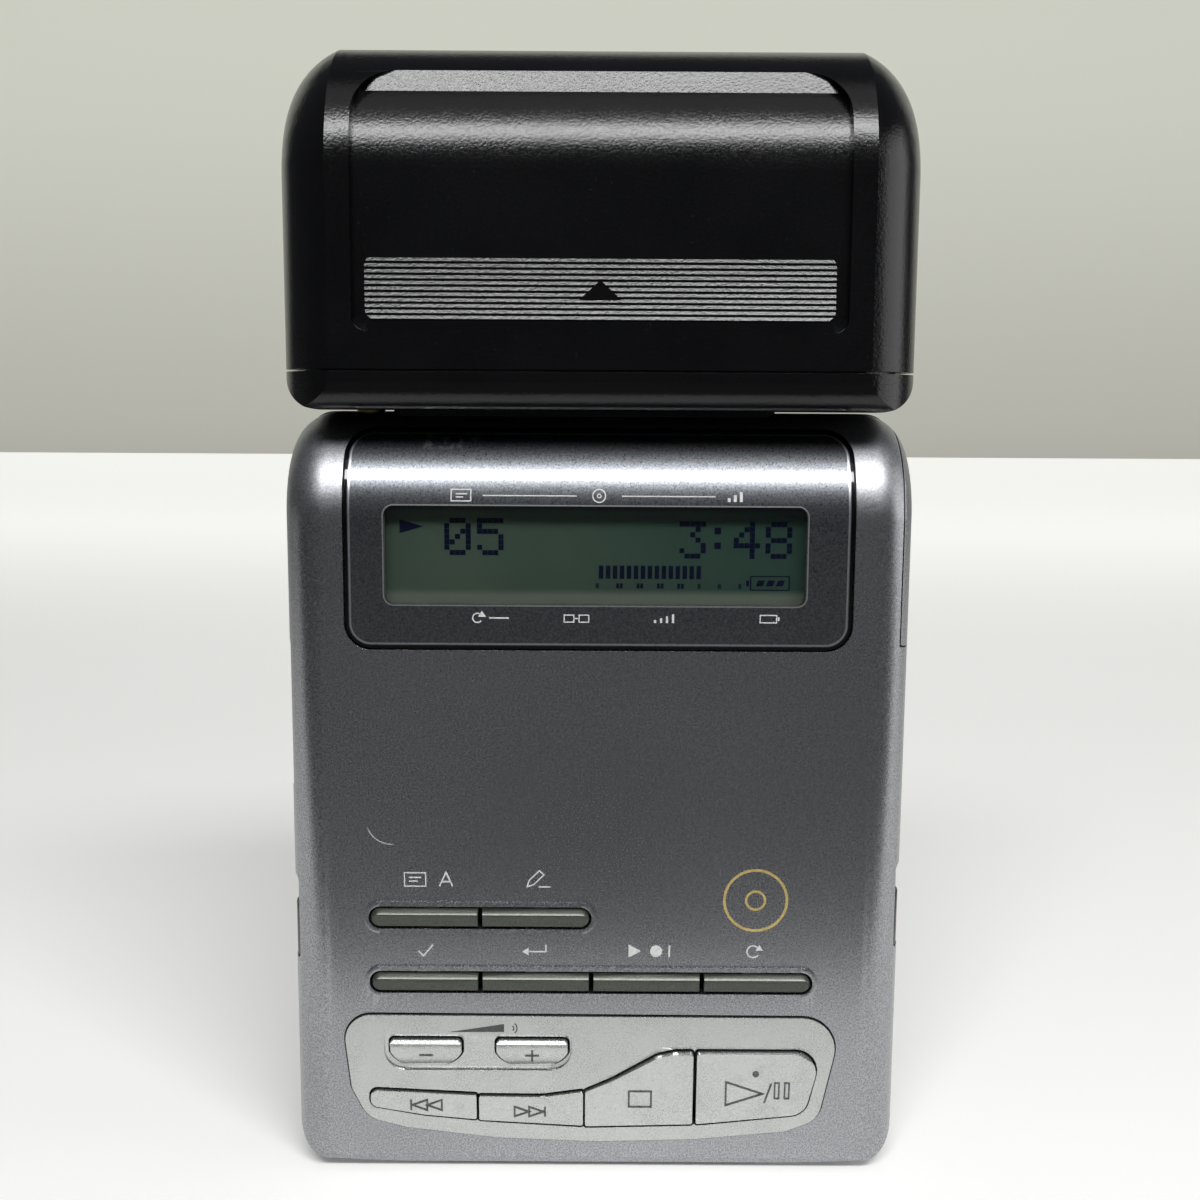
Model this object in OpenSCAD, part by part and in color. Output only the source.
// Portable minidisc recorder standing on its lower end, with a dry cell case docked on its upper end.
// Millimetres, +Z up, +X to the right, the front face looks along -Y.
// The origin is on the ground under the middle of the recorder.

/* [Recorder body] */
// Room between the cartridge and the outside of each side of the recorder
side_room = 6.5; // [6:0.1:9]
// Room between the display panel and the top of the recorder
head_room = 2.2; // [2:0.1:4]
// Depth of the recorder from front to back
player_d = 30; // [29.5:0.5:36]
// Wall thickness of every shell
wall = 1.6; // [1.2:0.1:1.8]
// Depth of the grey front shell, measured from the front face
front_shell_d = 21; // [20.5:0.5:22.5]
// Radius of the side edges of the front face, which run on over the bend and along the top
edge_r = 6; // [4:0.5:7]
// Radius of the bend that carries the front face over to the top
brow_r = 14; // [12:0.5:15]
// Radius of the lower corners of the front shell, seen from the front
bottom_r = 5; // [4:0.5:7]
// Radius of the crowned lower edge of the front shell
crown_r = 438; // [350:1:600]
// Radius of the outer corners of the black rear shell
rear_r = 4; // [3:0.5:5]

/* [Display] */
// Width of the glossy display panel
panel_w = 67.6; // [60:0.1:69]
// Height of the display panel
panel_h = 29.1; // [26:0.1:29.5]
// Room between the top of the disc lid and the display panel
panel_room = 1.5; // [1.3:0.1:3]
// Corner radius of the display panel
panel_r = 3.4; // [2:0.1:6]
// Thickness of the display panel
panel_t = 1.3; // [1:0.1:1.4]
// Width of the liquid crystal module
lcd_w = 59.6; // [50:0.1:62]
// Height of the liquid crystal module
lcd_h = 15.6; // [13:0.1:16]
// Height of the lower edge of the liquid crystal module over that of the display panel
lcd_up = 4.7; // [3.5:0.1:5.2]

/* [Buttons] */
// Length of a small key
small_key_w = 14.75; // [12:0.05:14.9]
// Height of a small key
small_key_h = 2.6; // [2:0.05:3]
// Distance from one small key to the next
small_key_pitch = 15.3; // [15.2:0.05:15.8]
// Place of the first column of small keys, left of the middle
small_key_x = -23.7; // [-24.5:0.1:-23]
// Height of the upper row of small keys
upper_row_z = 37.2; // [36:0.1:38]
// Height of the lower row of small keys
lower_row_z = 27.95; // [27.5:0.05:30]
// How far a small key stands out of the front face
small_key_rise = 0.9; // [0.6:0.1:1.5]
// How far the volume keys and the large keys stand out of the front face
large_key_rise = 1.5; // [1.2:0.1:2]
// How far the control plate stands out of the front face
plate_rise = 0.4; // [0.2:0.1:0.6]
// Travel of every key
key_travel = 0.5; // [0.3:0.05:0.55]
// Gap round every key
key_gap = 0.3; // [0.15:0.05:0.35]

/* [Disc and deck] */
// Width of the standard cartridge
cartridge_w = 72; // [71.5:0.1:72]
// Height of the standard cartridge
cartridge_h = 68; // [67.5:0.1:68]
// Thickness of the standard cartridge
cartridge_t = 5; // [4.9:0.05:5]
// Room between the edge of the disc and the nearer edges of the cartridge
disc_room = 2; // [2:0.1:3]
// Thickness of the disc
disc_t = 1.2; // [1:0.05:1.3]
// Radius of the hole in the hub of the disc
hub_r = 5.5; // [5:0.1:6]
// Play of the turntable boss in the hub
hub_play = 0.3; // [0.25:0.05:0.5]
// Radius of the deck's guide rods
rod_r = 1; // [0.8:0.05:1.2]
// Radius of the first recorded track
track_r = 14.5; // [14.5:0.1:15]
// Room between the last recorded track and the edge of the disc
track_room = 1.5; // [1.5:0.1:4]
// Radius of the barrel on the disc lid's hinge
lid_barrel_r = 1.6; // [1.4:0.1:1.8]
// Radius of the disc lid's hinge pin
lid_pin_r = 0.7; // [0.5:0.05:0.8]

/* [Battery and sockets] */
// Distance from the outer end of the battery pack to the outside of the right side
pack_room = 4; // [4:0.1:10]
// Height of the display panel beyond that of the battery pack behind it
pack_less = 7.1; // [6.6:0.1:11]
// Thickness of the battery pack
pack_t = 10.6; // [8:0.1:10.8]
// Radius of the bore of the sound sockets
jack_r = 1.8; // [1.25:0.05:2]
// Depth of the bore of the sound sockets
jack_depth = 13; // [10:0.5:14]
// Radius of the power plug's barrel
plug_r = 2; // [1.8:0.05:2.2]
// Length of the power plug's barrel
plug_l = 8.7; // [7:0.1:9]
// Distance of the power plug from the left side
plug_inset = 10.2; // [9.9:0.1:10.4]

/* [Cell case] */
// Depth of the cell case beyond its two rows of cells
case_room = 5.7; // [5.5:0.1:8]
// Height of the cell case from its underside to its top
case_h = 48.3; // [47.5:0.1:56]
// Air between the recorder's top and the underside of the case
dock_gap = 0.3; // [0.2:0.1:1]
// Height of the base of the case below the parting line
base_h = 5; // [4.4:0.1:5.4]
// Radius of the dry cells
cell_r = 7.25; // [7:0.05:7.25]
// Length of the dry cells
cell_l = 50.5; // [49:0.1:50.5]
// Depth of the recessed panel in the front of the case
recess_d = 1.3; // [0.8:0.1:1.3]
// Number of ribs in the grip
rib_count = 11; // [7:1:13]

/* [Fits] */
// Gap round parts that are set into an opening
fit = 0.25; // [0.2:0.05:0.3]
// Gap between a sliding part and its slot
slide_gap = 0.3; // [0.2:0.05:0.4]
// Radial gap between a shaft and its bore
running_gap = 0.08; // [0.04:0.01:0.1]
// Radius of the screws' shanks
screw_r = 0.8; // [0.6:0.05:0.9]

/* [Hidden] */
$fn = 64;
body_grey = [0.42, 0.42, 0.45];
shell_black = [0.08, 0.08, 0.09];
plate_silver = [0.72, 0.72, 0.69];
key_olive = [0.25, 0.25, 0.23];
board_green = [0.1, 0.35, 0.2];
steel = [0.6, 0.62, 0.65];

// Faces of the recorder
player_w = cartridge_w + 2 * side_room;
side_x = player_w / 2;
front_y = -player_d / 2;
rear_y = player_d / 2;
split_y = front_y + front_shell_d;
inner_x = side_x - wall;
inner_front_y = front_y + wall;
far = 60;
// The crowned edge is flat where it stands on the ground
crown_flat = 0.1;
chin_r = 3;
panel_inset = 0.15;
ledge = 1.2;
ledge_t = 1;

// Planes of the deck, from front to back
key_flange_t = 0.7;
key_flange_y = inner_front_y + 0.2;
key_end_y = key_flange_y + key_flange_t + 0.3;
switch_gap = 0.1;
switch_y = key_end_y + key_travel + switch_gap;
switch_t = 0.7;
key_board_y = switch_y + switch_t;
board_t = 0.8;
main_board_y = -7.6;
chassis_y = 1.2;
chassis_t = 1;
cartridge_y = 3;
cartridge_z = 3.6;
deck_z = cartridge_z + cartridge_h / 2;
disc_r = min(cartridge_w, cartridge_h) / 2 - disc_room;
sled_travel = disc_r - track_room - track_r;
lid_t = 1.4;
lid_half_w = cartridge_w / 2 + 2;
lid_top_z = cartridge_z + cartridge_h + 1.6;
// The recorder is as high as its deck with the display panel over it
panel_z = lid_top_z + panel_room;
lcd_z = panel_z + lcd_up;
player_h = panel_z + panel_h + head_room;
pack_h = panel_h - pack_less;
lid_axis_y = rear_y - lid_barrel_r;
lid_floor = wall - 0.1;
lid_axis_z = lid_floor + slide_gap + lid_barrel_r;
lid_inner_y = rear_y - lid_t;
lid_step = 2.9;
disc_y = cartridge_y + (cartridge_t - disc_t) / 2;

// Outlines of the control plate and of its keys, as seen from the front
plate_pts = [[-35.3, 23.1], [-34.1, 12.4], [-31.9, 8], [-26.5, 6.6], [-13.7, 5.1],
    [0, 4.6], [13.6, 5], [26.5, 6.2], [31.1, 8], [34.3, 22.9]];
plate_rs = [3.6, 3, 4, 4, 4, 4, 4, 4, 3.4, 4.6];
skip_back_pts = [[-31.4, 12.3], [-16.66, 11.6], [-16.66, 7.9], [-24, 8.6], [-31.4, 9.9]];
skip_back_rs = [0.9, 0.3, 0.3, 2, 1.1];
skip_forward_pts = [[-16.3, 11.45], [-7.4, 11.4], [-1.8, 12.2], [-1.8, 7], [-16.3, 7.8]];
skip_forward_rs = [0.3, 6, 0.3, 0.3, 0.3];
stop_pts = [[-1.5, 12.2], [2.3, 13.9], [8.6, 17.5], [11, 18.05], [13.5, 18.1], [13.5, 7.3], [-1.5, 6.9]];
stop_rs = [0.4, 6, 4, 4, 0.4, 0.3, 0.3];
play_pts = [[14, 18.1], [31.3, 18.1], [29.14, 8.9], [14, 7.3]];
play_rs = [0.4, 2.8, 2.6, 0.3];
volume_z = 16;
volume_h = 3.8;
volume_down_x = -23.65;
volume_up_x = -8.9;
volume_w = 9.9;
volume_corner_r = 0.6;
volume_belly_r = 3.2;
volume_belly_out = 0.3;
skip_back_foot = [-24, 10.2];
skip_forward_foot = [-9, 9.4];
stop_foot = [6, 11.2];
play_foot = [22.5, 12];

// The faces of the four large keys lie in one plane, nearly flush at its lower edge
keys_low_z = 7;
keys_top_z = 18.1;
keys_low_rise = plate_rise + 0.1;
// A volume key has a ridge along its top over a hollow for the fingertip
ridge_bevel = 0.4;
hollow_r = 3.5;
hollow_ahead = 2.49;
hollow_up = 0.9;
// Sunk field round the volume keys, deepest at its lower edge
field_x0 = -29.5;
field_x1 = -3.4;
field_z0 = 15.1;
field_z1 = 20.4;
field_sink = 0.55;
field_r = 3;
plate_seat = 0.5;
rim_rise = 0.35;
rim_w = 0.65;
// How far a cut runs past what it cuts
over = 1;

// Sockets, sliders and screws on the sides
jack_y = -2;
jack_body = 6.4;
headphone_z = lid_top_z - 13.2;
line_in_z = 20.6;
mic_z = 13;
nose_r = 2.9;
slider_t = 1.4;
plug_x = plug_inset - side_x;
open_slider_z = lid_top_z - 18.7;
open_slot_l = 20.7;
open_slider_travel = 3.2;
hold_slider_z = 30;
rec_slider_z = 32;
small_slot_l = 12;
small_slider_travel = 4;
small_slider_y = -10;
slider_w = 4.6;
open_slider_y = -9;
screw_x = side_x - 2.3;
screw_zs = [6.6, lid_top_z - 3.2];
screw_head_r = 1.4;
screw_head_y = rear_y - 3.2;
screw_head_t = 0.9;
boss_r = 1.9;
post_x = side_x - 7;

// Battery bay and its door
tray_x = plug_x + nose_r + 0.9;
tray_y = -9.6;
tray_z = panel_z + 0.9;
tray_wall = 0.8;
tray_gap = 0.2;
tray_in_y = tray_y + tray_wall;
tray_in_z = tray_z + tray_wall;
pack_x = tray_x + 1.5;
pack_l = side_x - pack_room - pack_x;
door_x = side_x - 1.6;
door_z = panel_z + 0.2;
door_h = panel_h - 0.1;
door_t = 1.5;
door_barrel_r = 1.2;
door_pin_r = 0.5;
door_axis_x = side_x - door_barrel_r;
door_axis_y = split_y - 2.4;
door_barrel_z = door_z + 4.1;
door_barrel_l = door_h - 9.5;
door_lug = 1.8;
door_swing_gap = 0.42;

// Dock between the recorder and the cell case
case_z = player_h + dock_gap;
boss_x = plug_x + 3.7;
boss_w = player_w - 32.1;
boss_y = -4.5;
boss_d = 9;
boss_h = 2.4;
case_top_z = case_z + case_h;
parting_z = case_z + base_h;
parting_gap = 0.3;
case_w = player_w;
cell_gap = 0.3;
case_d = 4 * cell_r + cell_gap + case_room;
case_x = case_w / 2;
case_front_y = -case_d / 2;
cap_edge_r = 12;
cap_crease = 0.88;
cap_brow_r = 18;
cap_rear_r = 14;
base_r = 6;
recess_w = 63.8;
recess_z = case_z + 10.1;
recess_top_z = case_top_z - 4.9;
recess_top_r = 5.6;
recess_low_r = 1.8;
grip_w = 60.6;
grip_z = case_z + 11.7;
grip_h = 8;
grip_r = 1.3;
rib_pitch = grip_h / rib_count;
rib_h = 0.55 * rib_pitch;
recess_y = case_front_y + recess_d;
riser_z = recess_top_z - 2.7;
arrow_w = 4.8;
arrow_h = 2.2;
cell_floor_z = case_z + wall + 2.7;
lower_cell_z = cell_floor_z + cell_gap + cell_r;
upper_cell_z = lower_cell_z + 2 * cell_r + cell_gap;
cell_y = cell_r + cell_gap / 2;
contact_t = 0.4;
spring_l = 2.6;
spring_r = 3;
cradle_wall = 1.4;
cradle_x = cell_l / 2 + spring_l / 2 + contact_t + 0.2;
cradle_top_z = upper_cell_z + cell_r + 1;
sole_r = 4;
recess_wall = 1.25;
rib_rise = 0.22;
arrow_z = case_z + 14.3;
lip_t = 1;
lip_h = 2.4;
cradle_d = 25.6;
case_screw_xs = [-20, 20];
case_screw_y = 9;

// Helpers that stand a drawing up along one axis
module along_x(x0, x1) translate([x0, 0, 0]) rotate([90, 0, 90]) linear_extrude(x1 - x0) children();
module along_y(y0, y1) translate([0, y1, 0]) rotate([90, 0, 0]) linear_extrude(y1 - y0) children();
module along_z(z0, z1) translate([0, 0, z0]) linear_extrude(z1 - z0) children();
module block(x0, x1, y0, y1, z0, z1) translate([x0, y0, z0]) cube([x1 - x0, y1 - y0, z1 - z0]);
module rod_x(x0, x1, y, z, r) translate([x0, y, z]) rotate([0, 90, 0]) cylinder(h = x1 - x0, r = r);
module rod_y(x, y0, y1, z, r) translate([x, y1, z]) rotate([90, 0, 0]) cylinder(h = y1 - y0, r = r);
module rod_z(x, y, z0, z1, r) translate([x, y, z0]) cylinder(h = z1 - z0, r = r);

// The corner of a drawing that lies outside a circle of radius r, towards sx and sy
module corner_cut(cx, cy, r, sx, sy) translate([cx, cy]) difference() {
    translate([sx < 0 ? -r - 4 : 0, sy < 0 ? -r - 4 : 0]) square(r + 4);
    circle(r);
}

// A slot with round ends
module pill(x0, x1, z0, z1) {
    r = (z1 - z0) / 2;
    translate([x0 + r, z0]) square([x1 - x0 - 2 * r, 2 * r]);
    translate([x0 + r, z0 + r]) circle(r);
    translate([x1 - r, z0 + r]) circle(r);
}

// A rectangle with round corners
module soft_box(x0, x1, z0, z1, r) {
    translate([x0 + r, z0]) square([x1 - x0 - 2 * r, z1 - z0]);
    translate([x0, z0 + r]) square([x1 - x0, z1 - z0 - 2 * r]);
    for (x = [x0 + r, x1 - r], z = [z0 + r, z1 - r]) translate([x, z]) circle(r);
}

// Outlines given by their corners: each corner moves out by g and is rounded with radius r
function unit(v) = v / norm(v);
function at(p, i) = p[(i + len(p)) % len(p)];
function turn_side(p, i = 0) = i == len(p) ? 0 : cross(at(p, i), at(p, i + 1)) + turn_side(p, i + 1);
function out_normal(a, b, s) = s * [(b - a)[1], -(b - a)[0]] / norm(b - a);
function grown_corner(p, i, g, s) = let(
    n1 = out_normal(at(p, i - 1), at(p, i), s),
    n2 = out_normal(at(p, i), at(p, i + 1), s)
) at(p, i) + g * (n1 + n2) / (1 + n1 * n2);
function grown(p, g) = let(s = turn_side(p) > 0 ? 1 : -1) [for (i = [0:len(p) - 1]) grown_corner(p, i, g, s)];
function turned(v, t) = [v[0] * cos(t) - v[1] * sin(t), v[0] * sin(t) + v[1] * cos(t)];
function corner_arc(a, b, c, r, n) = let(
    u = unit(a - b),
    v = unit(c - b),
    half = acos(max(-1, min(1, u * v))) / 2,
    reach = min(r / tan(half), 0.45 * norm(a - b), 0.45 * norm(c - b)),
    rr = reach * tan(half),
    mid = b + unit(u + v) * rr / sin(half),
    p0 = b + u * reach - mid,
    p1 = b + v * reach - mid,
    turn = atan2(cross(p0, p1), p0 * p1)
) [for (k = [0:n]) mid + turned(p0, turn * k / n)];
function rounded(p, rs, g, n) = [
    for (i = [0:len(p) - 1]) each corner_arc(at(p, i - 1), at(p, i), at(p, i + 1), rs[i] + max(g, 0), n)
];
module outline(p, rs, g = 0, n = 6) polygon(rounded(grown(p, g), rs, g, n));

// Sections of a form of half width w whose round side edges of radius r run up its front, over a bend
// and back along its top. The flat faces clip the rounds by clip, which leaves a crisp line.
module bend_section(w, reach, r, clip) difference() {
    translate([0, -w]) square([reach, 2 * w]);
    for (s = [-1, 1]) corner_cut(reach + clip - r, s * (w - r), r, 1, s);
}
module top_section(w, z0, z1, r, clip) difference() {
    translate([-w, z0]) square([2 * w, z1 - z0]);
    for (s = [-1, 1]) corner_cut(s * (w - r), z1 + clip - r, r, s, 1);
}
// The bend is a quarter turn about the line y, z: from the front to the top, or from the top to the rear
module bend(y, z, rear = false) translate([0, y, z]) rotate([90, 0, 90])
    rotate([0, 0, rear ? 0 : 90]) rotate_extrude(angle = 90) children();

// Grey front half of the recorder, drawn inwards by i and past the parting plane by reach
function crown_low(x) = crown_r - crown_flat - sqrt(crown_r * crown_r - x * x);
module front_elevation(i) difference() {
    intersection() {
        translate([-side_x - 1, i]) square([player_w + 2, player_h + 2]);
        translate([0, crown_r - crown_flat]) circle(r = crown_r - i, $fn = 720);
    }
    for (s = [-1, 1])
        corner_cut(s * (side_x - bottom_r), bottom_r + crown_low(side_x - bottom_r), bottom_r - i, s, -1);
}
module front_plan(i, reach) difference() {
    translate([-side_x + i, front_y + i]) square([player_w - 2 * i, front_shell_d - i + reach]);
    for (s = [-1, 1]) corner_cut(s * (side_x - edge_r), front_y + edge_r, edge_r - i, s, -1);
}
module front_side(i, reach) difference() {
    translate([front_y - 1, i]) square([front_shell_d + reach + 2, player_h + 2]);
    corner_cut(front_y + chin_r, chin_r, chin_r - i, -1, -1);
}
module front_form(i, reach = 0) intersection() {
    along_y(front_y - 2, split_y + reach + 2) front_elevation(i);
    along_x(-far, far) front_side(i, reach);
    union() {
        along_z(-1, player_h - brow_r) front_plan(i, reach);
        bend(front_y + brow_r, player_h - brow_r) bend_section(side_x - i, brow_r - i, edge_r - i, 0);
        along_y(front_y + brow_r, split_y + reach)
            top_section(side_x - i, player_h - brow_r, player_h - i, edge_r - i, 0);
    }
}
module panel_outline(g) soft_box(
    -panel_w / 2 - g, panel_w / 2 + g, panel_z - g, panel_z + panel_h + g, panel_r + g);
module panel_prism(g) along_y(-far, front_y + brow_r * 0.75) panel_outline(g);

// Places of the keys
function small_key_x0(col) = small_key_x + col * small_key_pitch - small_key_w / 2;
module key_span(first, last, z, g) pill(
    small_key_x0(first) - g, small_key_x0(last) + small_key_w + g,
    z - small_key_h / 2 - g, z + small_key_h / 2 + g);
module key_row_shape(cols, z, g) key_span(0, cols - 1, z, g);
module small_key_shape(cols, col, z, g) intersection() {
    key_row_shape(cols, z, g);
    translate([small_key_x0(col) - g, 0]) square([small_key_w + 2 * g, player_h]);
}
module volume_shape(x, g) intersection() {
    soft_box(x - volume_w / 2 - g, x + volume_w / 2 + g, volume_z - 1 - g, volume_z + volume_h + g,
        volume_corner_r + g);
    soft_box(x - volume_w / 2 - volume_belly_out - g, x + volume_w / 2 + volume_belly_out + g,
        volume_z - g, volume_z + volume_h + 2 * volume_belly_r + g, volume_belly_r + g);
}

// Screw bosses, where the deck rests too
module screw_bosses() for (s = [-1, 1], z = screw_zs) {
    mirror([s < 0 ? 1 : 0, 0, 0]) block(side_x - 6, inner_x + 0.2, -3, chassis_y, z - 3, z + 3);
    rod_y(s * screw_x, chassis_y - 1, split_y, z, boss_r);
}
module socket_hole(z) rod_x(inner_x - 1, far, jack_y, z, nose_r + fit);
module side_slot(s, y, z, l) {
    x = s > 0 ? inner_x - 2 : -far;
    translate([x, 0, 0]) along_x(0, far - inner_x + 2)
        soft_box(y - slider_w / 2, y + slider_w / 2, z, z + l, 0.8);
}

// The battery door's piece of the side wall, grown by g
module door_region(g, swing_gap = 0) {
    difference() {
        along_x(door_x - g, far) soft_box(front_y - 0.6 - g, door_axis_y - 1.6 + g + swing_gap,
            door_z - g, door_z + door_h + g, 4);
        block(0, door_x - g, -far, far, 0, player_h);
    }
    block(door_axis_x - door_barrel_r - 0.3, far, door_axis_y - 2, door_axis_y + door_barrel_r + g,
        door_barrel_z - g, door_barrel_z + door_barrel_l + g);
}

module front_shell() color(body_grey) difference() {
    union() {
        difference() {
            front_form(0);
            difference() {
                front_form(wall, 1);
                // Rim that carries the display panel
                difference() {
                    panel_prism(1.5);
                    panel_prism(-ledge);
                    front_form(wall + ledge_t);
                }
                // Floor of the dock recess
                block(boss_x - 2, boss_x + boss_w + 2, boss_y - 2, far,
                    player_h - boss_h - 1.4, player_h);
            }
        }
        // Raised rims round the two rows of small keys
        along_y(front_y - rim_rise, front_y + 0.5) key_row_shape(2, upper_row_z, key_gap + rim_w);
        along_y(front_y - rim_rise, front_y + 0.5) key_row_shape(4, lower_row_z, key_gap + rim_w);
        screw_bosses();
        // Posts that carry the key board and the main board
        for (x = [-31, 31]) rod_y(x, inner_front_y - 0.4, key_board_y, 32.5, 1.3);
        for (x = [-post_x, post_x]) rod_y(x, inner_front_y - 0.4, key_board_y, 12, 1.3);
        for (x = [-post_x, post_x], z = [46, screw_zs[1]]) rod_y(x, inner_front_y - 0.4, main_board_y, z, 1.5);
        // Lugs that hold the pin of the battery door
        for (z = [door_barrel_z - door_lug - 0.2, door_barrel_z + door_barrel_l + 0.2])
            block(door_axis_x - 1.5, side_x - 0.6, door_axis_y - 1.1, split_y, z, z + door_lug);
    }
    difference() {
        panel_prism(fit);
        front_form(wall - 0.15);
    }
    panel_prism(-ledge);
    // Openings of the two rows of small keys
    along_y(-far, inner_front_y + over) key_row_shape(2, upper_row_z, key_gap);
    along_y(-far, inner_front_y + over) key_row_shape(4, lower_row_z, key_gap);
    // Seat of the control plate and openings of its keys
    along_y(-far, front_y + plate_seat) outline(plate_pts, plate_rs, fit, 10);
    along_y(-far, inner_front_y + 1) large_key_shapes(key_gap);
    door_region(0.2, door_swing_gap);
    rod_z(door_axis_x, door_axis_y, door_barrel_z - 3, door_barrel_z + door_barrel_l + 1.6, door_pin_r);
    side_slot(-1, open_slider_y, open_slider_z, open_slot_l);
    side_slot(-1, small_slider_y, hold_slider_z, small_slot_l);
    side_slot(1, small_slider_y, rec_slider_z, small_slot_l);
    for (z = [headphone_z, line_in_z, mic_z]) socket_hole(z);
    for (s = [-1, 1], z = screw_zs) rod_y(s * screw_x, -2, far, z, screw_r);
    // Recess for the boss of the cell case, and the opening of the power socket
    along_z(player_h - boss_h - 0.2, far * 2) soft_box(
        boss_x - fit, boss_x + boss_w + fit, boss_y - fit, boss_y + boss_d + fit, 1.5);
    rod_z(plug_x, 0, player_h - 4, player_h + 1, nose_r + fit);
}
module large_key_shapes(g) {
    outline(skip_back_pts, skip_back_rs, g);
    outline(skip_forward_pts, skip_forward_rs, g);
    outline(stop_pts, stop_rs, g);
    outline(play_pts, play_rs, g);
    volume_shape(volume_down_x, g);
    volume_shape(volume_up_x, g);
}

module rear_elevation(i) difference() {
    translate([-side_x + i, i]) square([player_w - 2 * i, player_h - 2 * i]);
    for (s = [-1, 1], z = [rear_r, player_h - rear_r])
        corner_cut(s * (side_x - rear_r), z, rear_r - i, s, z > player_h / 2 ? 1 : -1);
}
module rear_section(w, i, reach, r) difference() {
    translate([split_y - reach, -w + i]) square([rear_y - split_y - i + reach, 2 * w - 2 * i]);
    for (s = [-1, 1]) corner_cut(rear_y - r, s * (w - r), r - i, 1, s);
}
module rear_form(i, reach = 0) intersection() {
    along_y(split_y - reach, rear_y + 1) rear_elevation(i);
    mirror([1, -1, 0]) along_z(-1, player_h + 1) rear_section(side_x, i, reach, rear_r);
    translate([0, 0, player_h / 2]) along_x(-far, far) rear_section(player_h / 2, i, reach, 3);
}
module rear_shell() color(shell_black) difference() {
    union() {
        difference() {
            rear_form(0);
            rear_form(wall, 1);
        }
        // Shelf above the disc opening
        block(-inner_x - 0.2, inner_x + 0.2, split_y + 1, rear_y - 0.8, lid_top_z + 0.3, lid_top_z + 1.5);
        // Bosses of the screws, and cheeks that hold the pin of the disc lid
        intersection() {
            rear_form(0.4);
            for (s = [-1, 1]) {
                for (z = screw_zs) rod_y(s * screw_x, split_y, rear_y, z, boss_r);
                block(s * lid_half_w - 1, s * lid_half_w + 1, lid_axis_y - 1.4, rear_y, 0, lid_axis_z + 1.4);
            }
        }
    }
    // Disc opening, narrower at the hinge where the cheeks stand
    block(-lid_half_w - fit, lid_half_w + fit, lid_inner_y - 2, far, lid_axis_z + lid_step, lid_top_z + fit);
    block(-lid_half_w + 1.2, lid_half_w - 1.2, lid_axis_y - 2, far, lid_floor, lid_axis_z + 4);
    rod_x(-lid_half_w - 0.6, lid_half_w + 0.6, lid_axis_y, lid_axis_z, lid_pin_r);
    for (s = [-1, 1], z = screw_zs) {
        rod_y(s * screw_x, 0, far, z, screw_r + 0.1);
        rod_y(s * screw_x, screw_head_y, far, z, screw_head_r + 0.1);
    }
}

module display_window() color([0.12, 0.12, 0.13]) intersection() {
    panel_prism(0);
    difference() {
        front_form(panel_inset);
        front_form(panel_inset + panel_t);
    }
}
module lcd_module() color([0.3, 0.35, 0.32])
    block(-lcd_w / 2, lcd_w / 2, inner_front_y + ledge_t + 0.1, tray_y, lcd_z, lcd_z + lcd_h);

module control_plate() color(plate_silver) difference() {
    along_y(front_y - plate_rise, front_y + plate_seat) outline(plate_pts, plate_rs, 0, 10);
    along_y(-far, 0) large_key_shapes(key_gap);
    intersection() {
        along_y(-far, front_y + plate_seat) soft_box(field_x0, field_x1, field_z0, field_z1 + 4, field_r);
        along_x(-far, far) polygon([[-far, field_z1], [front_y - plate_rise, field_z1],
            [front_y - plate_rise + field_sink, field_z0 - over], [-far, field_z0 - over]]);
    }
}

// A key's flange behind the wall, and its foot over the switch
function low(p, k) = min([for (q = p) q[k]]);
function high(p, k) = max([for (q = p) q[k]]);
module key_back(x0, x1, z0, z1, foot) {
    block(x0 + 1.2, x1 - 1.2, key_flange_y, key_flange_y + key_flange_t, z0 - 0.8, z1 + 0.8);
    block(foot[0] - 1.5, foot[0] + 1.5, key_flange_y, key_end_y, foot[1] - 1, foot[1] + 1);
}
module small_key(cols, col, z) color(key_olive) {
    x0 = small_key_x0(col);
    along_y(front_y - small_key_rise, key_flange_y + 0.1) small_key_shape(cols, col, z, 0);
    key_back(x0, x0 + small_key_w, z - small_key_h / 2, z + small_key_h / 2, [x0 + small_key_w / 2, z]);
}
module display_button() small_key(2, 0, upper_row_z);
module play_mode_button() small_key(2, 1, upper_row_z);
module edit_button() small_key(4, 0, lower_row_z);
module track_mark_button() small_key(4, 1, lower_row_z);
module end_search_button() small_key(4, 2, lower_row_z);
module charge_button() small_key(4, 3, lower_row_z);

module large_key(p, rs, foot) color(plate_silver) {
    slope = (large_key_rise - keys_low_rise) / (keys_top_z - keys_low_z);
    back = key_flange_y + 0.1;
    intersection() {
        along_y(-far, back) outline(p, rs);
        along_x(-far, far) polygon([[front_y - large_key_rise - slope * over, keys_top_z + over],
            [back, keys_top_z + over], [back, keys_low_z - over],
            [front_y - keys_low_rise + slope * over, keys_low_z - over]]);
    }
    key_back(low(p, 0), high(p, 0), low(p, 1), high(p, 1), foot);
}
module volume_key(x) color(plate_silver) {
    ridge_y = front_y - large_key_rise;
    top_z = volume_z + volume_h;
    back = key_flange_y + 0.1;
    intersection() {
        along_y(-far, back) volume_shape(x, 0);
        along_x(-far, far) difference() {
            polygon([[ridge_y, top_z - ridge_bevel], [ridge_y + ridge_bevel + over, top_z + over],
                [back, top_z + over], [back, volume_z - over], [ridge_y, volume_z - over]]);
            translate([ridge_y - hollow_ahead, volume_z + hollow_up]) circle(r = hollow_r);
        }
    }
    key_back(x - volume_w / 2, x + volume_w / 2, volume_z, top_z, [x, volume_z + volume_h / 2]);
}
module volume_down_button() volume_key(volume_down_x);
module volume_up_button() volume_key(volume_up_x);
module skip_back_button() large_key(skip_back_pts, skip_back_rs, skip_back_foot);
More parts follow.
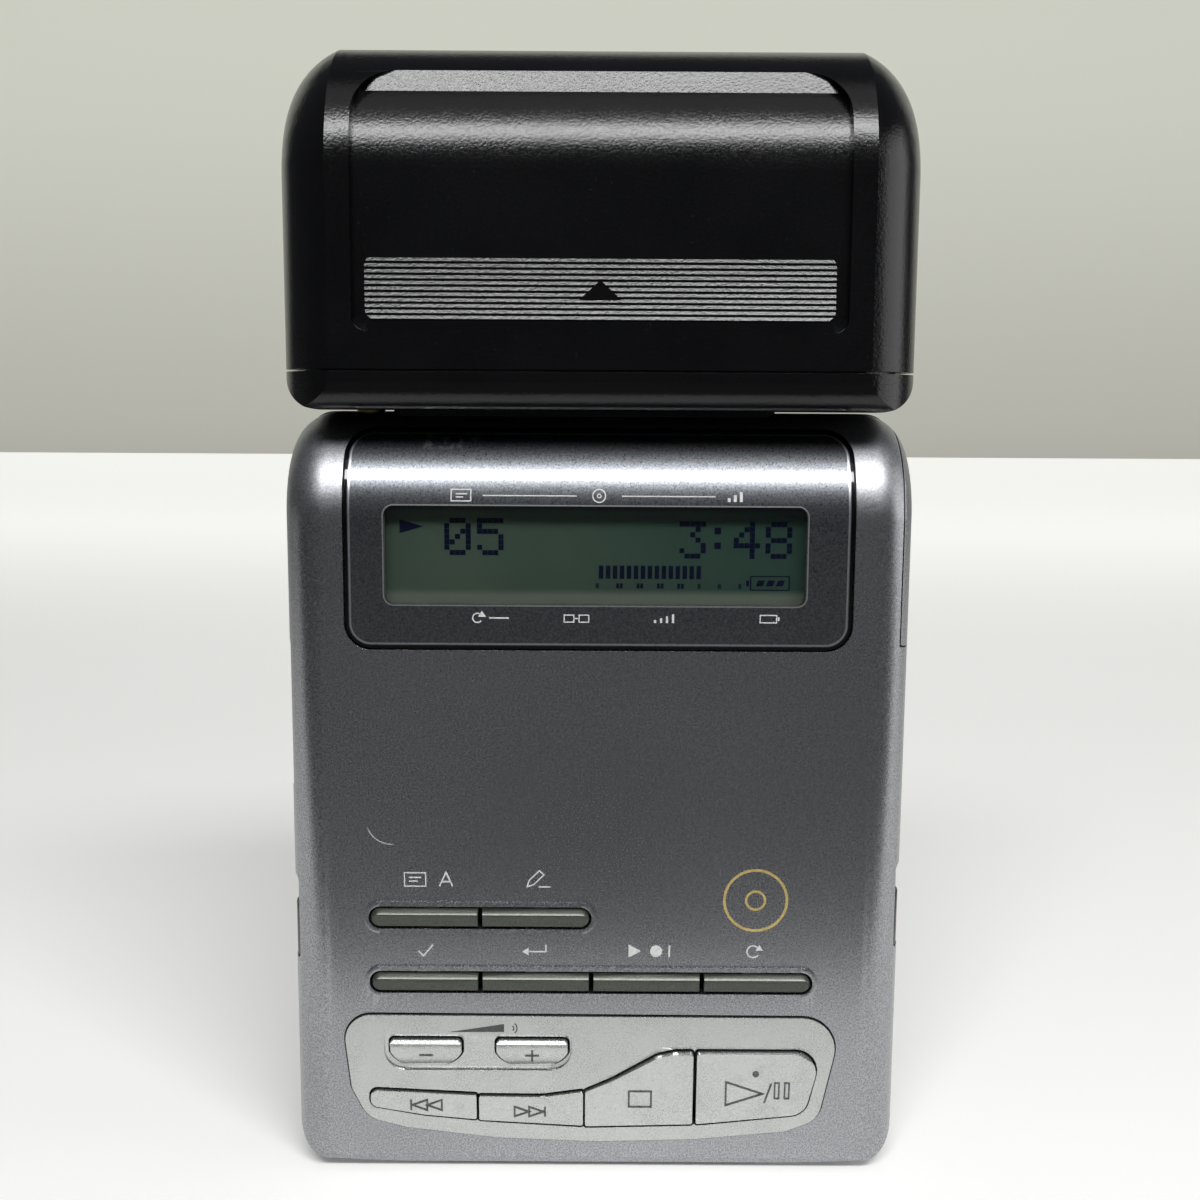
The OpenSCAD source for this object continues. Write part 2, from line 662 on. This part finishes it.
module skip_forward_button() large_key(skip_forward_pts, skip_forward_rs, skip_forward_foot);
module stop_button() large_key(stop_pts, stop_rs, stop_foot);
module play_button() large_key(play_pts, play_rs, play_foot);

module key_board() color(board_green)
    block(3 - side_x, side_x - 3, key_board_y, key_board_y + board_t, 7.5, 41);
function small_feet() = [
    for (col = [0:1]) [small_key_x0(col) + small_key_w / 2, upper_row_z],
    for (col = [0:3]) [small_key_x0(col) + small_key_w / 2, lower_row_z]
];
function volume_feet() = [for (x = [volume_down_x, volume_up_x]) [x, volume_z + volume_h / 2]];
module tact_switches() color(steel)
    for (f = concat(small_feet(), volume_feet(), [skip_back_foot, skip_forward_foot, stop_foot, play_foot]))
        block(f[0] - 1.6, f[0] + 1.6, switch_y, key_board_y, f[1] - 1.2, f[1] + 1.2);

// Main board with its chips, cut clear of the sockets
module main_board() color(board_green) {
    block(4 - side_x, side_x - 4, main_board_y, main_board_y + board_t, 4, lid_top_z - 0.7);
    for (c = [[-24, 58, 12], [-6, 60, 9], [12, 58, 7], [-26, 18, 8]])
        block(c[0] - c[2] / 2, c[0] + c[2] / 2, main_board_y + board_t, main_board_y + board_t + 1,
            c[1] - c[2] / 2, c[1] + c[2] / 2);
}

// Sliding keys on the sides: a knob in the skin of the shell and a wider foot behind the wall
module side_knob(s, y, z, l) {
    intersection() {
        difference() {
            front_form(0.1);
            front_form(wall - 0.1);
        }
        translate([s > 0 ? 0 : -far, 0, 0]) along_x(0, far)
            soft_box(y - slider_w / 2 + slide_gap, y + slider_w / 2 - slide_gap, z, z + l, 0.6);
    }
    x = s > 0 ? inner_x - 0.3 : -inner_x - 0.6;
    block(x, x + 0.9, y + 0.8, y + slider_w / 2 - slide_gap, z + 1, z + l - 1);
    block(s > 0 ? inner_x - slider_t : -inner_x + 0.2, s > 0 ? inner_x - 0.2 : slider_t - inner_x,
        y + 0.8, y + slider_w / 2 + 1, z + 1, z + l - 1);
}
module open_slider() color(shell_black) side_knob(-1, open_slider_y,
    open_slider_z + open_slider_travel + slide_gap, open_slot_l - open_slider_travel - 2 * slide_gap);
module hold_slider() color(shell_black) side_knob(-1, small_slider_y,
    hold_slider_z + slide_gap, small_slot_l - small_slider_travel - 2 * slide_gap);
module rec_slider() color([0.5, 0.1, 0.1]) side_knob(1, small_slider_y,
    rec_slider_z + slide_gap, small_slot_l - small_slider_travel - 2 * slide_gap);

// Battery bay
module battery_tray() color(shell_black) difference() {
    block(tray_x, inner_x - 1.4, tray_y, tray_in_y + pack_t + 2 * tray_gap + tray_wall,
        tray_z, tray_in_z + pack_h + 2 * tray_gap + tray_wall);
    block(tray_x + tray_wall, far, tray_in_y, tray_in_y + pack_t + 2 * tray_gap,
        tray_in_z, tray_in_z + pack_h + 2 * tray_gap);
}
module battery_pack() color([0.2, 0.25, 0.3]) translate([pack_x, 0, 0]) along_x(0, pack_l)
    soft_box(tray_in_y + tray_gap, tray_in_y + tray_gap + pack_t,
        tray_in_z + tray_gap, tray_in_z + tray_gap + pack_h, 1.2);
module battery_door() color(body_grey) difference() {
    union() {
        intersection() {
            difference() {
                front_form(0);
                front_form(door_t);
            }
            door_region(0);
        }
        rod_z(door_axis_x, door_axis_y, door_barrel_z, door_barrel_z + door_barrel_l, door_barrel_r);
    }
    // The rear edge turns about the pin, so nothing of it lies outside the barrel
    difference() {
        block(door_axis_x - 3, far, door_axis_y, far, 0, player_h);
        rod_z(door_axis_x, door_axis_y, 0, player_h, door_barrel_r);
    }
    rod_z(door_axis_x, door_axis_y, 0, player_h, door_pin_r + running_gap);
}
module door_pin() color(steel)
    rod_z(door_axis_x, door_axis_y, door_barrel_z - 2, door_barrel_z + door_barrel_l + 1.6, door_pin_r);

// Sound sockets on the right side and the power socket in the top
module sound_socket(z) color(shell_black) difference() {
    union() {
        block(side_x - jack_depth - 1.5, inner_x - 0.2, jack_y - jack_body / 2, jack_y + jack_body / 2,
            z - jack_body / 2, z + jack_body / 2);
        rod_x(inner_x - 1, side_x - 0.2, jack_y, z, nose_r);
    }
    rod_x(side_x - 0.2 - jack_depth, far, jack_y, z, jack_r);
}
module headphone_jack() sound_socket(headphone_z);
module line_in_jack() sound_socket(line_in_z);
module mic_jack() sound_socket(mic_z);
module dc_jack() color(shell_black) {
    top = player_h - 0.5;
    difference() {
        union() {
            rod_z(plug_x, 0, top - plug_l - 2, top, nose_r);
            block(plug_x - 3.2, plug_x + 3.2, -3.2, 3.2, top - plug_l - 2, player_h - boss_h - 1.6);
        }
        rod_z(plug_x, 0, top - plug_l - 0.6, player_h, plug_r + 0.15);
    }
    rod_z(plug_x, 0, top - plug_l - 1, top - 1, 0.7);
}
module shell_screws() color(steel) for (s = [-1, 1], z = screw_zs) {
    rod_y(s * screw_x, -1.8, screw_head_y + 0.2, z, screw_r);
    rod_y(s * screw_x, screw_head_y, screw_head_y + screw_head_t, z, screw_head_r);
}

// Deck plate, open for the spindle and for the run of the pickup
sled_x = track_r + 0.5;
sled_y0 = -3.6;
sled_y1 = chassis_y - 0.4;
motor_r = 8;
shaft_r = 0.75;
rod_y_place = -1.6;
rod_zs = [deck_z - 9.4, deck_z + 9.4];
screw_z = deck_z + 14;
screw_r0 = 0.9;
screw_end_r = 0.7;
nut_r = 1.05;
sled_back = 5.4;
sled_front = 6;
sled_half_h = rod_zs[1] - deck_z + 2.2;
sled_room = 0.9;
deck_x = side_x - 4.6;
deck_low = 4.4;
deck_top = lid_top_z - 1;
ear_half = 1.8;
ear_x = 4;
ear_t = 1.8;
outer_ear_x = inner_x - 2.6;
rod_x0 = ear_x + 0.8;
module ear(x, t, z)
    block(x, x + t, rod_y_place - ear_half, chassis_y + 0.2, z - ear_half, z + ear_half);
module chassis() color(steel) difference() {
    union() {
        block(-deck_x, deck_x, chassis_y, chassis_y + chassis_t, deck_low, deck_top);
        // Ears that hold the guide rods and the outer end of the lead screw
        for (z = rod_zs) ear(ear_x, ear_t + 0.6, z);
        for (z = [rod_zs[0], rod_zs[1], screw_z]) ear(outer_ear_x, ear_t, z);
    }
    block(sled_x - sled_back - 1, sled_x + sled_front + sled_travel + sled_room, 0, far,
        deck_z - sled_half_h - 0.4, deck_z + sled_half_h + 0.4);
    rod_y(0, -far, far, deck_z, 3);
    for (z = rod_zs) rod_x(rod_x0, far, rod_y_place, z, rod_r);
    rod_x(outer_ear_x - 1, far, rod_y_place, screw_z, screw_end_r + running_gap);
}
module spindle_motor() color(steel) difference() {
    union() {
        rod_y(0, sled_y0 - 0.6, chassis_y, deck_z, motor_r - 0.4);
        rod_y(0, chassis_y - 0.5, chassis_y + chassis_t, deck_z, 2.8);
    }
    rod_y(0, sled_y0, far, deck_z, shaft_r + running_gap);
}
module turntable() color(shell_black) {
    rod_y(0, sled_y0 + 0.2, cartridge_y, deck_z, shaft_r);
    rod_y(0, chassis_y + chassis_t + 0.25, disc_y - 1.1, deck_z, 2.4);
    rod_y(0, disc_y - 1.3, disc_y - 0.1, deck_z, 7.5);
    rod_y(0, disc_y - 0.3, disc_y + 0.7, deck_z, hub_r - hub_play);
}
module optical_pickup() color(shell_black) difference() {
    union() {
        block(sled_x - sled_back, sled_x + sled_front, sled_y0, sled_y1,
            deck_z - sled_half_h, deck_z + sled_half_h);
        // Arm over the lead screw
        block(sled_x - 2, sled_x + 4, sled_y0, rod_y_place - 1, rod_zs[1] + 1, screw_z + 1);
        rod_y(sled_x, 0, chassis_y + chassis_t + 0.3, deck_z, 2.6);
    }
    for (z = rod_zs) rod_x(0, far, rod_y_place, z, rod_r + running_gap);
    rod_x(0, far, rod_y_place, screw_z, nut_r);
}
module guide_rods() color(steel) for (z = rod_zs) rod_x(rod_x0, inner_x - 1, rod_y_place, z, rod_r);
module lead_screw() color(steel) {
    rod_x(8.2, outer_ear_x - 0.4, rod_y_place, screw_z, screw_r0);
    rod_x(7, inner_x - 1, rod_y_place, screw_z, screw_end_r);
}
module sled_motor() color(steel) difference() {
    union() {
        rod_x(-7, 8, rod_y_place, screw_z, 2.6);
        block(-6, 7, rod_y_place, chassis_y, screw_z - 1.5, screw_z + 1.5);
    }
    rod_x(6.4, 10, rod_y_place, screw_z, screw_end_r + running_gap);
}

// Standard cartridge with its disc and shutter; the shutter is slid down, clear of the window
cart_x = cartridge_w / 2;
window_x0 = 12;
window_x1 = cart_x - 2;
window_h = 10;
shutter_w = 18;
shutter_travel = 19;
shutter_t = 0.3;
cart_y1 = cartridge_y + cartridge_t;
module cartridge_shell() color([0.35, 0.4, 0.5]) difference() {
    along_y(cartridge_y, cart_y1) soft_box(-cart_x, cart_x, cartridge_z, cartridge_z + cartridge_h, 1.2);
    rod_y(0, disc_y - 0.7, disc_y + disc_t + 0.7, deck_z, disc_r + 1);
    rod_y(0, 0, disc_y, deck_z, 9);
    along_y(0, far) translate([window_x0, deck_z - window_h / 2]) square([window_x1 - window_x0, window_h]);
    // Track of the shutter on both faces and over the edge
    for (y = [cartridge_y - 1, cart_y1 - 0.4]) block(window_x0 - 2, cart_x + 1, y, y + 1.4,
        deck_z - shutter_w / 2 - shutter_travel - 0.3, deck_z + shutter_w / 2 + 0.3);
    block(cart_x - 0.4, cart_x + 1, 0, far,
        deck_z - shutter_w / 2 - shutter_travel - 0.3, deck_z + shutter_w / 2 + 0.3);
}
module cartridge_shutter() color(steel) difference() {
    z0 = deck_z - shutter_w / 2 - shutter_travel;
    block(window_x0 - 1, cart_x, cartridge_y, cart_y1, z0, z0 + shutter_w);
    block(0, cart_x - shutter_t, cartridge_y + shutter_t, cart_y1 - shutter_t, 0, far);
}
module disc() color([0.7, 0.65, 0.8]) difference() {
    rod_y(0, disc_y, disc_y + disc_t, deck_z, disc_r);
    rod_y(0, disc_y - 1, disc_y + 0.85, deck_z, hub_r);
}

// Holder that swings out with the lid and carries the cartridge
holder_in_x = cart_x + slide_gap;
holder_t = 0.6;
holder_back_y = cart_y1 + slide_gap;
holder_z0 = cartridge_z + 0.4;
holder_z1 = cartridge_z + cartridge_h - 1.6;
holder_lip_y = cartridge_y - 0.2;
holder_stop_x = cart_x - 12;
module cartridge_holder() color(steel) {
    for (s = [-1, 1]) mirror([s < 0 ? 1 : 0, 0, 0]) {
        block(holder_in_x, holder_in_x + holder_t, holder_lip_y - 0.3, holder_back_y + 0.3,
            holder_z0, holder_z1);
        block(holder_in_x - 1.4, holder_in_x + holder_t, holder_lip_y - 0.3, holder_lip_y,
            holder_z0, holder_z1);
        // Arms fixed to the lid
        for (z = [holder_z0 + 10, holder_z1 - 14])
            block(holder_in_x, holder_in_x + holder_t, holder_back_y, lid_inner_y, z, z + 8);
    }
    difference() {
        block(-holder_in_x - 0.2, holder_in_x + 0.2, holder_back_y, holder_back_y + holder_t,
            holder_z0, holder_z1);
        block(window_x0 - 3, window_x1 + 1, 0, far, deck_z - 5, deck_z + 5);
    }
    // Stop under the cartridge, clear of the crowned floor at its two ends
    block(-holder_stop_x, holder_stop_x, holder_lip_y, holder_back_y + holder_t,
        cartridge_z - 0.9, cartridge_z - 0.3);
    block(-holder_stop_x, holder_stop_x, holder_back_y, holder_back_y + holder_t,
        cartridge_z - 0.9, holder_z0 + 0.2);
}
module disc_lid() color(shell_black) difference() {
    union() {
        along_y(lid_inner_y, rear_y)
            soft_box(-lid_half_w, lid_half_w, lid_axis_z + lid_step + 0.5, lid_top_z, 1);
        block(-lid_half_w + 1.5, lid_half_w - 1.5, lid_inner_y, rear_y, lid_axis_z, lid_axis_z + 6);
        rod_x(-lid_half_w + 1.5, lid_half_w - 1.5, lid_axis_y, lid_axis_z, lid_barrel_r);
    }
    rod_x(-far, far, lid_axis_y, lid_axis_z, lid_pin_r + running_gap);
}
module lid_hinge_pin() color(steel)
    rod_x(-lid_half_w - 0.5, lid_half_w + 0.5, lid_axis_y, lid_axis_z, lid_pin_r);

// Recording head on two rods that are fixed inside the lid
head_y = 11.6;
head_z = 6.5;
rail_r = 0.8;
module head_rail() color(steel) {
    for (z = [deck_z - head_z, deck_z + head_z]) rod_x(6, window_x1 + 2.8, head_y, z, rail_r);
    for (x = [5, window_x1 + 2])
        block(x, x + 1.4, head_y - 1.2, lid_inner_y, deck_z - head_z - 1.4, deck_z + head_z + 1.4);
}
module recording_head() color(shell_black) difference() {
    union() {
        block(sled_x - 5, sled_x + 4, head_y - 1.3, head_y + 1.3,
            deck_z - head_z - 1.6, deck_z + head_z + 1.6);
        block(sled_x - 2, sled_x + 2, cart_y1 + 0.35, head_y, deck_z - 2, deck_z + 2);
    }
    for (z = [deck_z - head_z, deck_z + head_z]) rod_x(0, far, head_y, z, rail_r + running_gap);
}

// Outer form of the cell case, drawn inwards by i
bend_z = case_top_z - cap_brow_r;
bend_y = case_front_y + cap_brow_r;
rear_bend_z = case_top_z - cap_rear_r;
rear_bend_y = -case_front_y - cap_rear_r;
// The riser runs from the floor of the recess to the outer face of the bend
function bend_face_y(z, r) = bend_y - sqrt(r * r - (z - bend_z) * (z - bend_z));
riser_low_y = bend_face_y(riser_z, cap_brow_r - recess_d);
riser_top_y = bend_face_y(recess_top_z, cap_brow_r);
riser_run = (recess_top_z - riser_z) / (riser_top_y - riser_low_y);
module case_plan(i) difference() {
    translate([-case_x + i, case_front_y + i]) square([case_w - 2 * i, case_d - 2 * i]);
    for (s = [-1, 1], t = [-1, 1]) corner_cut(
        s * (case_x - cap_edge_r), t * (cap_crease - cap_edge_r - case_front_y), cap_edge_r - i, s, t);
}
module case_sole(i) difference() {
    translate([-far, case_z + i]) square([2 * far, case_h + 1]);
    for (s = [-1, 1]) corner_cut(s * (case_x - base_r), case_z + base_r, base_r - i, s, -1);
}
module case_sole_side(i) difference() {
    translate([case_front_y - 1, case_z + i]) square([case_d + 2, case_h + 1]);
    for (s = [-1, 1]) corner_cut(s * (-case_front_y - sole_r), case_z + sole_r, sole_r - i, s, -1);
}
module case_form(i) intersection() {
    along_y(-far, far) case_sole(i);
    along_x(-far, far) case_sole_side(i);
    union() {
        along_z(case_z - 1, bend_z) case_plan(i);
        bend(bend_y, bend_z) bend_section(case_x - i, cap_brow_r - i, cap_edge_r - i, cap_crease);
        along_y(bend_y, rear_bend_y)
            top_section(case_x - i, bend_z, case_top_z - i, cap_edge_r - i, cap_crease);
        intersection() {
            along_z(bend_z, rear_bend_z) case_plan(i);
            block(-far, far, rear_bend_y, far, bend_z, rear_bend_z);
        }
        bend(rear_bend_y, rear_bend_z, true)
            bend_section(case_x - i, cap_rear_r - i, cap_edge_r - i, cap_crease);
    }
}
module recess_outline(g) difference() {
    translate([-recess_w / 2 - g, recess_z - g]) square([recess_w + 2 * g, recess_top_z - recess_z + 2 * g]);
    for (s = [-1, 1]) {
        corner_cut(s * (recess_w / 2 - recess_top_r), recess_top_z - recess_top_r, recess_top_r + g, s, 1);
        corner_cut(s * (recess_w / 2 - recess_low_r), recess_z + recess_low_r, recess_low_r + g, s, -1);
    }
}
module recess_prism(g) along_y(-far, 0) recess_outline(g);
module arrow(g) polygon(grown([[-arrow_w / 2, 0], [arrow_w / 2, 0], [0, arrow_h]], g));

// Cap that slides up off the base. A flat riser closes the upper end of its recess, and every rib of the
// grip slopes up to a sharp lower edge.
module recess_cut() difference() {
    recess_prism(0);
    case_form(recess_d);
    along_x(-far, far) polygon([[riser_low_y, riser_z], [riser_top_y, recess_top_z],
        [far, recess_top_z + (far - riser_top_y) * riser_run], [far, riser_z]]);
}
module rib_side(z) polygon([[recess_y + 0.2, z], [recess_y - rib_rise, z],
    [recess_y - 0.04, z + rib_h], [recess_y + 0.2, z + rib_h]]);
module case_cap() color(shell_black) {
    difference() {
        case_form(0);
        difference() {
            case_form(wall);
            difference() {
                recess_prism(1);
                case_form(recess_d + recess_wall);
            }
        }
        recess_cut();
        block(-far, far, -far, far, 0, parting_z + parting_gap);
    }
    intersection() {
        difference() {
            along_x(-grip_w / 2, grip_w / 2) for (k = [0:rib_count - 1]) rib_side(grip_z + k * rib_pitch);
            translate([0, 0, arrow_z]) along_y(-far, 0) arrow(0.15);
        }
        along_y(-far, 0) soft_box(-grip_w / 2, grip_w / 2, grip_z - 0.1, grip_z + grip_h, grip_r);
    }
    translate([0, 0, arrow_z]) along_y(recess_y - rib_rise, recess_y + 0.2) arrow(0);
}
module case_base() color(shell_black) difference() {
    union() {
        difference() {
            case_form(0);
            case_form(wall);
            block(-far, far, -far, far, parting_z, far * 3);
        }
        // Lip that enters the cap
        difference() {
            case_form(wall + slide_gap);
            case_form(wall + slide_gap + lip_t);
            block(-far, far, -far, far, parting_z + lip_h, far * 3);
            block(-far, far, -far, far, 0, case_z + base_r - 2);
        }
        difference() {
            case_form(wall - 0.2);
            case_form(wall + slide_gap + 0.2);
            block(-far, far, -far, far, parting_z, far * 3);
            block(-far, far, -far, far, 0, case_z + base_r - 2.6);
        }
        along_z(player_h - boss_h, case_z + 0.6)
            soft_box(boss_x, boss_x + boss_w, boss_y, boss_y + boss_d, 1.2);
    }
    rod_z(plug_x, 0, 0, case_top_z, plug_r + 0.15);
    for (x = case_screw_xs) {
        rod_z(x, case_screw_y, 0, case_top_z, screw_r + 0.1);
        rod_z(x, case_screw_y, 0, case_z + 0.9, screw_head_r + 0.1);
    }
}

// Cradle with four cells, their contacts and springs
function cell_places() = [
    for (s = [-1, 1], z = [lower_cell_z, upper_cell_z]) [s * spring_l / 2, s * cell_y, z, s]
];
module cell_cradle() color([0.15, 0.15, 0.16]) difference() {
    union() {
        block(-cradle_x - cradle_wall, cradle_x + cradle_wall, -cradle_d / 2, cradle_d / 2,
            case_z + wall, cell_floor_z);
        for (x = [-cradle_x - cradle_wall, cradle_x])
            block(x, x + cradle_wall, -cradle_d / 2, cradle_d / 2, case_z + wall, cradle_top_z);
    }
    for (x = case_screw_xs) rod_z(x, case_screw_y, 0, case_z + wall + 2.2, screw_r);
    rod_z(plug_x, 0, 0, case_top_z, plug_r + 0.5);
}
module dry_cells() color([0.6, 0.6, 0.55]) for (c = cell_places())
    rod_x(c[0] - cell_l / 2, c[0] + cell_l / 2, c[1], c[2], cell_r);
module cell_contacts() color(steel) for (c = cell_places(), s = [-1, 1])
    block(s * (cradle_x - contact_t / 2) - contact_t / 2, s * (cradle_x - contact_t / 2) + contact_t / 2,
        c[1] - 4, c[1] + 4, c[2] - 4, c[2] + 4);
module cell_springs() color(steel) for (c = cell_places()) translate([-c[3] * cradle_x, 0, 0]) difference() {
    x = contact_t * c[3];
    rod_x(min(x, x + c[3] * spring_l), max(x, x + c[3] * spring_l), c[1], c[2], spring_r);
    rod_x(-far, far, c[1], c[2], spring_r - 0.8);
}
module case_board() color(board_green)
    block(-cradle_x, cradle_x, -cradle_d / 2 + 2, cradle_d / 2 - 1, cradle_top_z, cradle_top_z + board_t);
module dc_plug() color([0.75, 0.68, 0.45]) difference() {
    union() {
        rod_z(plug_x, 0, player_h - 0.5 - plug_l, case_z + wall + 0.5, plug_r);
        rod_z(plug_x, 0, case_z + wall, case_z + wall + 3, plug_r + 0.3);
    }
    rod_z(plug_x, 0, 0, player_h, 0.85);
}
module case_screws() color(steel) for (x = case_screw_xs) {
    rod_z(x, case_screw_y, case_z + 0.3, case_z + wall + 2, screw_r);
    rod_z(x, case_screw_y, case_z + 0.3, case_z + 0.9, screw_head_r);
}

front_shell();
rear_shell();
display_window();
lcd_module();
control_plate();
display_button();
play_mode_button();
edit_button();
track_mark_button();
end_search_button();
charge_button();
volume_down_button();
volume_up_button();
skip_back_button();
skip_forward_button();
stop_button();
play_button();
key_board();
tact_switches();
main_board();
open_slider();
hold_slider();
rec_slider();
battery_tray();
battery_pack();
battery_door();
door_pin();
headphone_jack();
line_in_jack();
mic_jack();
dc_jack();
shell_screws();
chassis();
spindle_motor();
turntable();
optical_pickup();
guide_rods();
lead_screw();
sled_motor();
cartridge_shell();
cartridge_shutter();
disc();
cartridge_holder();
disc_lid();
lid_hinge_pin();
head_rail();
recording_head();
case_cap();
case_base();
cell_cradle();
dry_cells();
cell_contacts();
cell_springs();
case_board();
dc_plug();
case_screws();
